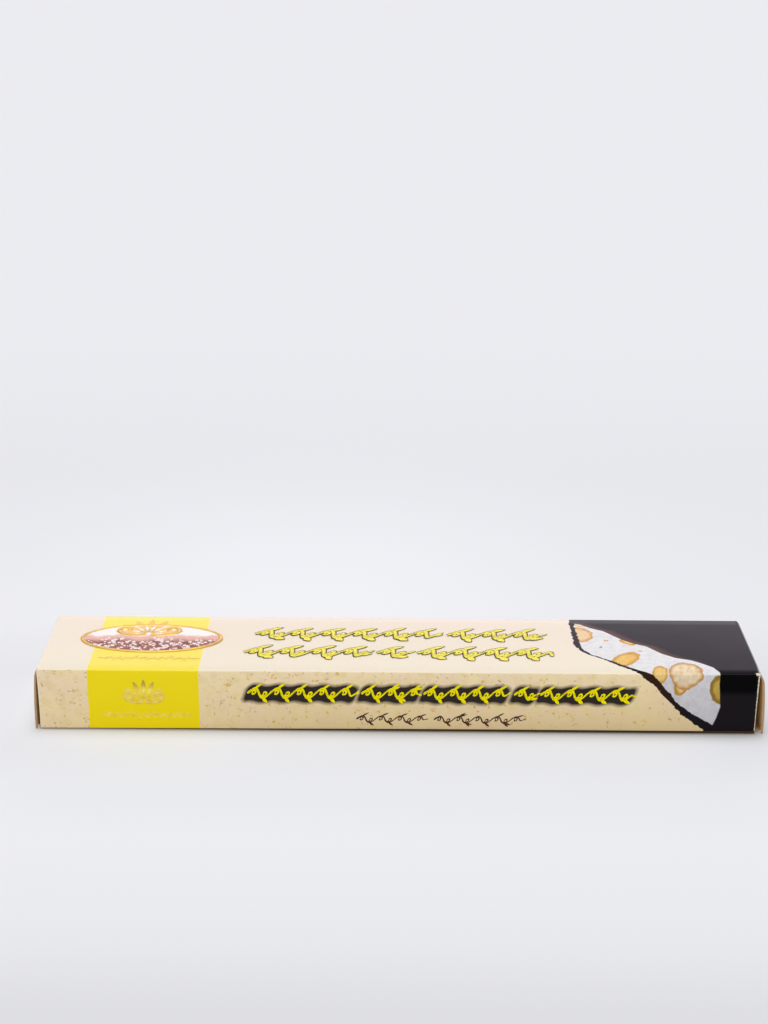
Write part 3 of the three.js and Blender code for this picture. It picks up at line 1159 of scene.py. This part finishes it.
# %% The garland tree
def garland_tree():
    inputs = {"Guides": "Geometry"} | dict.fromkeys(SIZES, "Float") | {"Material": "Material"}
    group, garden, given = new_group("garland", Garden, "GeometryNodeTree", inputs, "Geometry")
    wave, grow, lift = given["Wave"], given["Grow"], given["Lift"]

    curve = garden.geometry("MeshToCurve", {0: given["Guides"]})
    step = garden.math("MINIMUM", wave / 24.0, 0.35 * MM)
    curve = garden.geometry("ResampleCurve", {"Curve": curve, "Length": step}, mode="LENGTH")
    run = garden.geometry("SplineParameter", output="Length")
    total = garden.geometry("SplineLength", output="Length")
    gap = total / (garden.geometry("SplineLength", output="Point Count") - 1.0)
    left = garden.math("MINIMUM", run, total - run)
    beat = garden.math("SINE", run / wave * (2 * math.pi))
    ends = garden.math("DIVIDE", left, wave * 0.2, clamp=True)
    pace = given["Leaves per wave"] / wave
    number = run * pace
    due = garden.math("LESS_THAN", garden.math("FRACT", number), gap * pace)
    odd = garden.math("MODULO", garden.math("FLOOR", number), 2.0)
    curve = garden.stored(curve, beat=beat, ends=ends, due=due, parity=odd * -2.0 + 1.0)
    across = garden.vector("CROSS_PRODUCT", (0.0, 0.0, 1.0), garden.geometry("InputTangent"))
    swing = beat * given["Swing"] * garden.named("leafy")
    curve = garden.moved(curve, Offset=garden.scaled(across, swing * ends))
    curve = garden.geometry("SetCurveNormal", {"Curve": curve}, mode="Z_UP")

    stout = garden.named("leafy") * (1.0 - given["Tendril"]) + given["Tendril"]
    pen = (abs(beat) * 0.3 + 0.7) * (ends * 0.5 + 0.5) * stout
    profile = {"Width": grow * 2.0 + given["Stem"], "Height": lift + SINK * MM}
    profile = garden.geometry("CurvePrimitiveQuadrilateral", profile)
    curve = garden.geometry("SetCurveRadius", {"Curve": curve, "Radius": pen})
    stroke = {"Curve": curve, "Profile Curve": profile, "Fill Caps": True}
    stroke = garden.risen(garden.geometry("CurveToMesh", stroke), lift)

    leaf = garden.leaf(given["Leaf length"], given["Leaf width"] * 0.5, grow, lift * 0.85)
    points = garden.node("GeometryNodeCurveToPoints", {"Curve": curve}, mode="EVALUATED").outputs
    beat = garden.named("beat")
    outside = garden.math("SIGN", beat)
    side = (garden.named("parity") - outside) * given["Alternate"] + outside
    strong = garden.above(garden.math("MAXIMUM", abs(beat), given["Alternate"]), 0.3)
    chosen = garden.above(garden.named("leafy"), 0.5) * strong * garden.above(garden.named("due"), 0.5)
    uneven = (garden.chance(0.0, 1.0, 7) - 0.5) * given["Uneven"]
    size = (garden.named("ends") * 0.4 + 0.6) * (uneven * 2.0 + 1.0)
    lean = given["Leaf angle"] * (math.pi / 180) * side
    angle = garden.heading(points["Tangent"]) + lean + uneven
    leaves = garden.placed(leaf, points["Points"], chosen, angle, size)
    tips = garden.geometry("CurveEndpointSelection", {"Start Size": 0, "End Size": 1})
    tip_heading = garden.heading(garden.geometry("InputTangent"))
    buds = garden.placed(leaf, curve, tips, tip_heading, given["Bud"])

    whole = garden.node("GeometryNodeJoinGeometry")
    for part in (stroke, leaves, buds):
        garden.feed(whole, {0: part})
    garden.finish(whole.outputs[0], given["Material"])
    return group


GARLAND = garland_tree()
print("garland tree with", len(GARLAND.nodes), "nodes")

# %% [markdown]
# The first function grows a node group on an object, keeps the result as a plain mesh, and takes
# the modifier off again. The second gives the garland tree its guides and sizes, and wraps what
# grows on the carton.

# %% Growing a garland along its guides
def grown(made, group, values, material):
    """Grows a node group on an object, and keeps the result as a plain mesh."""
    nodes = made.modifiers.new(group.name, "NODES")
    nodes.node_group = group
    for socket in group.interface.items_tree:
        if socket.in_out == "INPUT" and socket.name in values:
            nodes[socket.identifier] = float(values[socket.name])
        elif socket.name == "Material":
            nodes[socket.identifier] = material
    evaluated = made.evaluated_get(bpy.context.evaluated_depsgraph_get())
    mesh = bpy.data.meshes.new_from_object(evaluated)
    made.modifiers.remove(nodes)
    for attribute in ("leafy", "beat", "ends", "due", "parity"):
        if attribute in mesh.attributes:
            mesh.attributes.remove(mesh.attributes[attribute])
    made.data = mesh
    return mesh


def grow(name, guides, material, slant=0.0, **changed):
    """Grows one garland. A guide is its blank places, whether it is leafy, and whether closed."""
    points, edges, leafy = [], [], []
    for guide, has_leaves, closed in guides:
        first = len(points)
        points += [(x * MM, s * MM, 0.0) for x, s in guide]
        edges += [(first + i, first + i + 1) for i in range(len(guide) - 1)]
        edges += [(len(points) - 1, first)] if closed else []
        leafy += [float(has_leaves)] * len(guide)
    data = bpy.data.meshes.new(name)
    data.from_pydata(points, edges, [])
    data.attributes.new("leafy", "FLOAT", "POINT").data.foreach_set("value", leafy)
    made = placed_object(name, data)
    values = {}
    for size, usual in SIZES.items():
        value = changed.get(size.replace(" ", "_").lower(), usual)
        values[size] = value * (1.0 if size in PLAIN_NUMBERS else MM)
    mesh = grown(made, GARLAND, values, material)
    for vertex in mesh.vertices:
        vertex.co.x += slant * vertex.co.y
    wrap(mesh)
    print(name, len(mesh.polygons), "faces")
    return made


# %% [markdown]
# A tendril leaves the stem wherever it crosses the middle of the row, and curls up inside the next
# swing. It is a spiral that closes quickly at first and then more slowly, turned the other way
# round in every other swing.

# %% Guides of a garland
def spiral(centre, start_radius, end_radius, start, end, closing=1.0, steps=20):
    """A spiral's places on the blank, between two directions in degrees."""
    places = []
    for i in range(steps + 1):
        angle = math.radians(start + (end - start) * i / steps)
        radius = end_radius + (start_radius - end_radius) * (1 - i / steps) ** closing
        places.append((centre[0] + radius * math.cos(angle), centre[1] + radius * math.sin(angle)))
    return places


def row(groups, s, wave, slant):
    """Guides for one row: a straight leafy guide for each group, and a tendril in each swing."""
    guides = []
    for start, end in groups:
        start, end = start - slant * s, end - slant * s
        guides.append(([(start, s), ((start + end) / 2, s), (end, s)], True, False))
        count = int((end - start) / (wave / 2) + 0.3)
        for i in range(count):
            side = 1 if i % 2 == 0 else -1
            centre = (start + (i + 0.5) * wave / 2, s)
            places = spiral(centre, wave / 4, wave * 0.04, 180 * side, -200 * side, closing=2.4)
            guides.append((places, False, False))
    return guides


# %% [markdown]
# ## Inks and foil
#
# Printed ink has no thickness of its own to speak of, and takes its look from how evenly it lies.
# Foil is a thin layer of metal, pressed on hot, and it takes on the board's fine roughness, so it
# glitters unevenly. Both kinds come from one function each.

# %% Ink and foil materials
PAINTED_REFLECTION_FROM = 14.6
FOIL_METAL = 0.35
FOIL_GRAIN = 0.02 * MM


def ink_material(name, colour, darker):
    """Ink that lies a little unevenly, between two near tones."""
    made, tree, shader = new_material(name, Press)
    uneven = tree.step(tree.noise(tree.in_mm(), 1.3), 0.62, 0.3)
    tree.feed(shader, {
        "Base Color": tree.mix(uneven, colour, darker), "Roughness": uneven * 0.2 + 0.2,
        "Specular IOR Level": VARNISH_SHINE,
    })
    return made


def foil_material(name, bright, deep, dark=None):
    """Gold foil: metal with patches where the fine roughness below it shows through.

    Where a dark tone is given, foil near the top of a side panel gets a painted reflection of the
    room's dark.
    """
    made, tree, shader = new_material(name, Press)
    place = tree.in_mm()
    patch = tree.step(tree.noise(place, 0.45), 0.5, 0.35)
    grain = tree.noise(place, 6.0, 2.0, 0.6)
    colour = tree.mix(patch, bright, deep)
    # Painted reflection: the foil is darkened near the top of the side panel.
    if dark:
        painted_reflection_mask = tree.step(tree.separate(place)[2], PAINTED_REFLECTION_FROM, 2.0)
        colour = tree.mix(painted_reflection_mask * 0.8, colour, dark)
    tree.feed(shader, {
        "Base Color": colour, "Roughness": grain * 0.2 + 0.25, "Metallic": FOIL_METAL,
        "Normal": tree.read("Bump", 0, {"Height": grain, "Strength": 0.2, "Distance": FOIL_GRAIN}),
    })
    return made


# The top's yellow ink is paler than the front's: painted highlight for the stronger light and sheen on
# the top.
yellow_top = ink_material("yellow_ink_top", ink(255, 241, 100), ink(246, 226, 84))
yellow_front = ink_material("yellow_ink_front", ink(255, 240, 0), ink(228, 206, 0))
outline_ink = ink_material("outline_ink", ink(112, 104, 66), ink(88, 80, 52))
brown_ink = ink_material("brown_ink", ink(84, 54, 44), ink(66, 42, 36))
foil_top = foil_material("gold_foil_top", ink(250, 206, 98), ink(236, 186, 76))
# A paler copy of the top foil, for the thin twig: painted light that makes up for the shading on its
# narrow strokes.
foil_pale = foil_material("gold_foil_pale", ink(255, 236, 120), ink(252, 220, 104))
# The front foil's tones are brighter than the top foil's: painted light that makes up for the darker
# reflection on the front.
foil_front = foil_material("gold_foil_front", ink(255, 238, 108), ink(242, 202, 66), ink(174, 142, 48))
print("inks and foil ready")

# %% [markdown]
# ## Garlands on the top and the front
#
# Two rows run along the top, in groups with gaps between them, and each has a thin dark outline.
# The outline is the same garland, grown a little on all sides, and it lies under the yellow one.
# The row on the front is smaller and stands on its printed shadow.

# %% Yellow garlands
TOP_ROWS = [
    ([(-43.5, 11.2), (14.6, 42.5)], 25.4),
    ([(-46.0, -9.6), (-6.6, 2.4), (5.4, 45.0)], 12.6),
]
OUTLINE = 0.3
TOP_WAVE = 9.4
TOP_SLANT = 0.55
top_guides = [guide for groups, s in TOP_ROWS for guide in row(groups, s, TOP_WAVE, TOP_SLANT)]
top_size = {"slant": TOP_SLANT, "wave": TOP_WAVE, "swing": 2.7, "stem": 1.0, "leaf_length": 3.4,
            "leaf_width": 1.5, "leaf_angle": 40, "leaves_per_wave": 4}
top_outline = grow("top_garland_outline", top_guides, outline_ink, grow=OUTLINE, lift=0.012, **top_size)
top_garland = grow("top_garland", top_guides, yellow_top, lift=0.03, **top_size)
front_garland = grow("front_garland", row(FRONT_GROUPS, FRONT_ROW, FRONT_WAVE, FRONT_SLANT),
                     yellow_front, slant=FRONT_SLANT, wave=FRONT_WAVE, swing=1.6, stem=0.56,
                     leaf_length=2.2, leaf_width=0.85, leaf_angle=42, leaves_per_wave=4)

# %% [markdown]
# The brown line below the front garland is as fine as a pen stroke, so its stem is thin and its
# leaves are slim.

# %% Brown flourish
FLOURISH_GROUPS = [(-12.6, 7.4), (10.1, 36.0)]
FLOURISH_WAVE = 5.6
flourish = grow("brown_flourish", row(FLOURISH_GROUPS, -15.2, FLOURISH_WAVE, FRONT_SLANT),
                brown_ink, slant=FRONT_SLANT, wave=FLOURISH_WAVE, swing=1.15, stem=0.34,
                leaf_length=1.9, leaf_width=0.5, leaf_angle=36, leaves_per_wave=4)

# %% [markdown]
# ## Gilded sprigs
#
# Where foil stands on the yellow band, there is a sprig: almond leaves that fan out from one
# point, between two curled tendrils, with a slender twig below it. Its guides are short stalks.
# Each of them ends in one leaf, so the same tree makes the fan as well.

# %% Sprigs and twigs
FAN_LEAVES = 7
FAN_STEP = 27


def fan_stalks(x, s, height):
    """The short stalks of a fan, from its root outwards."""
    stalks = []
    for i in range(FAN_LEAVES):
        angle = math.radians(90 + (i - (FAN_LEAVES - 1) / 2) * FAN_STEP)
        out = Vector((math.cos(angle), math.sin(angle))) * height
        stalks.append(([(x + out.x * t, s + out.y * t) for t in (0.06, 0.16, 0.26)], False, False))
    return stalks


def side_curls(x, s, width, height):
    """Two mirrored tendrils that leave the root of the fan and curl upwards."""
    curls = []
    for side in (-1, 1):
        stalk = [(width * 0.3 * t, -height * 0.1 * math.sin(math.pi * t)) for t in (0.1, 0.4, 0.7)]
        stalk += spiral((width * 0.32, height * 0.19), height * 0.2, height * 0.06, -80, 200)
        curls.append(([(x + side * a, s + b) for a, b in stalk], False, False))
    return curls


def sprig(name, centre, width, height, foil):
    """A sprig as wide and as high as given: its fan and its curls, as one piece of foil."""
    x, s = centre[0], centre[1] - height * 0.3
    fan = grow(name, fan_stalks(x, s, height), foil, swing=0, wave=60, stem=height * 0.06,
               tendril=1, bud=1, leaf_length=height * 0.52, leaf_width=height * 0.17)
    curls = grow("curls", side_curls(x, s, width, height), foil, swing=0, wave=height,
                 stem=height * 0.12, tendril=1, bud=0.6, leaf_length=height * 0.2,
                 leaf_width=height * 0.14)
    whole = bmesh.new()
    whole.from_mesh(fan.data)
    whole.from_mesh(curls.data)
    whole.to_mesh(fan.data)
    whole.free()
    bpy.data.objects.remove(curls)
    return fan


def twig(name, start, end, s, height, foil):
    """A fine twig with leaves that alternate from side to side."""
    guide = [(start, s), ((start + end) / 2, s), (end, s)]
    return grow(name, [(guide, True, False)], foil, swing=height * 0.1, wave=height * 3,
                leaves_per_wave=7, stem=0.24, bud=1, leaf_length=height * 0.6,
                leaf_width=height * 0.26, leaf_angle=42, alternate=1)


front_sprig = sprig("foil_sprig_front", (-74.6, -7.0), 13.3, 8.6, foil_front)
front_twig = twig("foil_twig_front", -87.2, -61.9, -14.4, 2.3, foil_front)
top_sprig = sprig("foil_sprig_top", (-76.0, 28.9), 21.6, 13.6, foil_top)
top_twig = twig("foil_twig_top", -88.9, -60.6, 8.2, 3.0, foil_pale)

# %% [markdown]
# ## The medallion
#
# An oval picture lies on the band. It is kept to a plain one: a pale sky, a rosy haze, and a
# field of almond blossom below, inside a gilded rim. The plate is an oval of a few rings, so that
# it can follow the swollen panel.

# %% Plate of the medallion
OVAL_CENTRE = (-74.7, 21.75)
OVAL_HALF = (20.9, 9.3)
OVAL_RINGS = 6
OVAL_SIDES = 72


def oval(share):
    """The places of an oval inside the plate's outline, as large as the share says."""
    turns = [2 * math.pi * j / OVAL_SIDES for j in range(OVAL_SIDES)]
    return [(OVAL_CENTRE[0] + OVAL_HALF[0] * share * math.cos(turn),
             OVAL_CENTRE[1] + OVAL_HALF[1] * share * math.sin(turn)) for turn in turns]


def oval_plate(name, lift):
    """A closed oval plate in blank coordinates: rings from its middle out and back again."""
    shares = [i / OVAL_RINGS for i in range(OVAL_RINGS + 1)]
    rings = [[(*place, -SINK) for place in oval(share)] for share in shares]
    rings += [[(*place, lift) for place in oval(share)] for share in reversed(shares)]
    return loft(name, rings)


medallion = oval_plate("medallion", 0.02)
print("medallion plate", len(medallion.data.polygons), "faces")

# %% [markdown]
# The blossom is scattered by Geometry Nodes over the lower part of the oval, with a fixed seed.
# Poisson scattering keeps the flowers apart. Each is a five-petalled plate of twenty corners,
# because it repeats many times.

# %% Blossom tree
BLOSSOM_SIZES = {
    "Along": OVAL_CENTRE[0], "Round": OVAL_CENTRE[1], "Half length": OVAL_HALF[0] - 0.9,
    "Half width": OVAL_HALF[1] - 0.9, "Top of field": 20.4, "Apart": 0.82, "Radius": 0.78,
    "Lift": 0.03,
}


BLOSSOM_CORNERS = 20
FIELD_CORNERS = 48
THICKEST = 4e6
FIELD_WAVES, FIELD_RISE = 420.0, 1.1
STRAY = 1.6
THICKET_WAVES = (1100.0, 1900.0)


def blossom_tree():
    inputs = dict.fromkeys(BLOSSOM_SIZES, "Float") | {"Material": "Material"}
    group, garden, given = new_group("blossom", Garden, "GeometryNodeTree", inputs, "Geometry")
    half = garden.combine(given["Half length"], given["Half width"])
    middle = garden.combine(given["Along"], given["Round"])
    disc = garden.geometry("MeshCircle", {"Vertices": FIELD_CORNERS, "Radius": 1.0}, fill_type="NGON")
    stretched = garden.vector("MULTIPLY_ADD", garden.geometry("InputPosition"), half, middle)
    spots = garden.geometry("DistributePointsOnFaces", {
        "Mesh": garden.moved(disc, Position=stretched), "Distance Min": given["Apart"],
        "Density Max": THICKEST, "Seed": 3,
    }, distribute_method="POISSON")
    x, y, z = garden.here()
    edge = garden.math("SINE", x * FIELD_WAVES) * (FIELD_RISE * MM) + given["Top of field"]
    in_field = garden.math("LESS_THAN", y + garden.chance(-STRAY * MM, STRAY * MM, 4), edge)
    thicket = garden.math("SINE", x * THICKET_WAVES[0]) * garden.math("SINE", y * THICKET_WAVES[1])
    in_field = in_field * garden.above(thicket, -0.3)

    around = garden.math("ARCTAN2", y, x)
    reach = (abs(garden.math("COSINE", around * 2.5)) * 0.45 + 0.55) * given["Radius"]
    petals = garden.combine(x * reach, y * reach, z)
    flower = garden.moved(garden.disc(BLOSSOM_CORNERS, given["Lift"]), Position=petals)
    flower = garden.risen(flower, given["Lift"])
    size, turn = garden.chance(0.4, 1.1, 5), garden.chance(0.0, 6.28, 9)
    garden.finish(garden.placed(flower, spots, in_field, turn, size), given["Material"])
    return group


BLOSSOM = blossom_tree()
print("blossom tree with", len(BLOSSOM.nodes), "nodes")


# %% [markdown]
# The picture behind the blossom has three soft tones, one above the other, and their edges are
# uneven. It is printed on the plate, and both are then wrapped on the panel.

# %% Picture of the medallion
SKY = ink(252, 248, 244)
HAZE = ink(238, 192, 176)
HAZE_DEEP = ink(214, 150, 138)
EARTH = ink(176, 112, 98)
EARTH_DEEP = ink(132, 78, 68)


def picture_material():
    """Sky, haze and ground, as the printed face of the plate."""
    made, tree, shader = new_material("medallion_print", Press)
    place = tree.in_mm()
    rolling = (tree.noise(place, 0.16) - 0.5) * 5.0
    height = tree.separate(place)[1] - (OVAL_CENTRE[1] - DEPTH / 2) + rolling
    haze = tree.until(height, 1.6, 1.6)
    ground = tree.until(height, -1.6, 2.4)
    mottle = tree.step(tree.noise(place, 0.7), 0.52, 0.2)
    colour = tree.mix(haze * mottle * 0.4, tree.mix(haze, SKY, HAZE), HAZE_DEEP)
    colour = tree.mix(ground, colour, tree.mix(mottle, EARTH, EARTH_DEEP))
    tree.feed(shader, {
        "Base Color": colour, "Roughness": mottle * 0.1 + 0.2, "Specular IOR Level": VARNISH_SHINE,
    })
    return made


blossom_ink = ink_material("blossom_ink", ink(250, 240, 238), ink(240, 204, 198))
medallion.data.materials.append(picture_material())
field = placed_object("medallion_blossom", bpy.data.meshes.new("medallion_blossom"))
field_sizes = {name: value * MM for name, value in BLOSSOM_SIZES.items()}
wrap(grown(field, BLOSSOM, field_sizes, blossom_ink))
wrap(medallion.data)
print("blossom", len(field.data.polygons), "faces")

# %% [markdown]
# The rim is one closed guide without leaves, so the garland tree draws it as a plain stroke.

# %% Gilded rim
rim = grow("medallion_rim", [(oval(1.0), False, True)], foil_top, swing=0, wave=4000, stem=1.1,
           tendril=1, bud=0, lift=0.04)

# %% [markdown]
# ## Pieces on the body
#
# Every piece rides on the one body of the imported model, and the list names what each piece is
# made of. The board stands for the imported solid, which is hidden.

# %% Pieces on the body
PIECES = [
    (board, "printed_board"), (top_outline, "dark_ink"), (top_garland, "yellow_ink"),
    (front_garland, "yellow_ink"), (flourish, "dark_ink"), (front_sprig, "gold_foil"),
    (front_twig, "gold_foil"), (top_sprig, "gold_foil"), (top_twig, "gold_foil"),
    (medallion, "pale_ink"), (field, "pale_ink"), (rim, "gold_foil"),
]
for piece, slot in PIECES:
    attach(piece, "root")
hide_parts("carton")
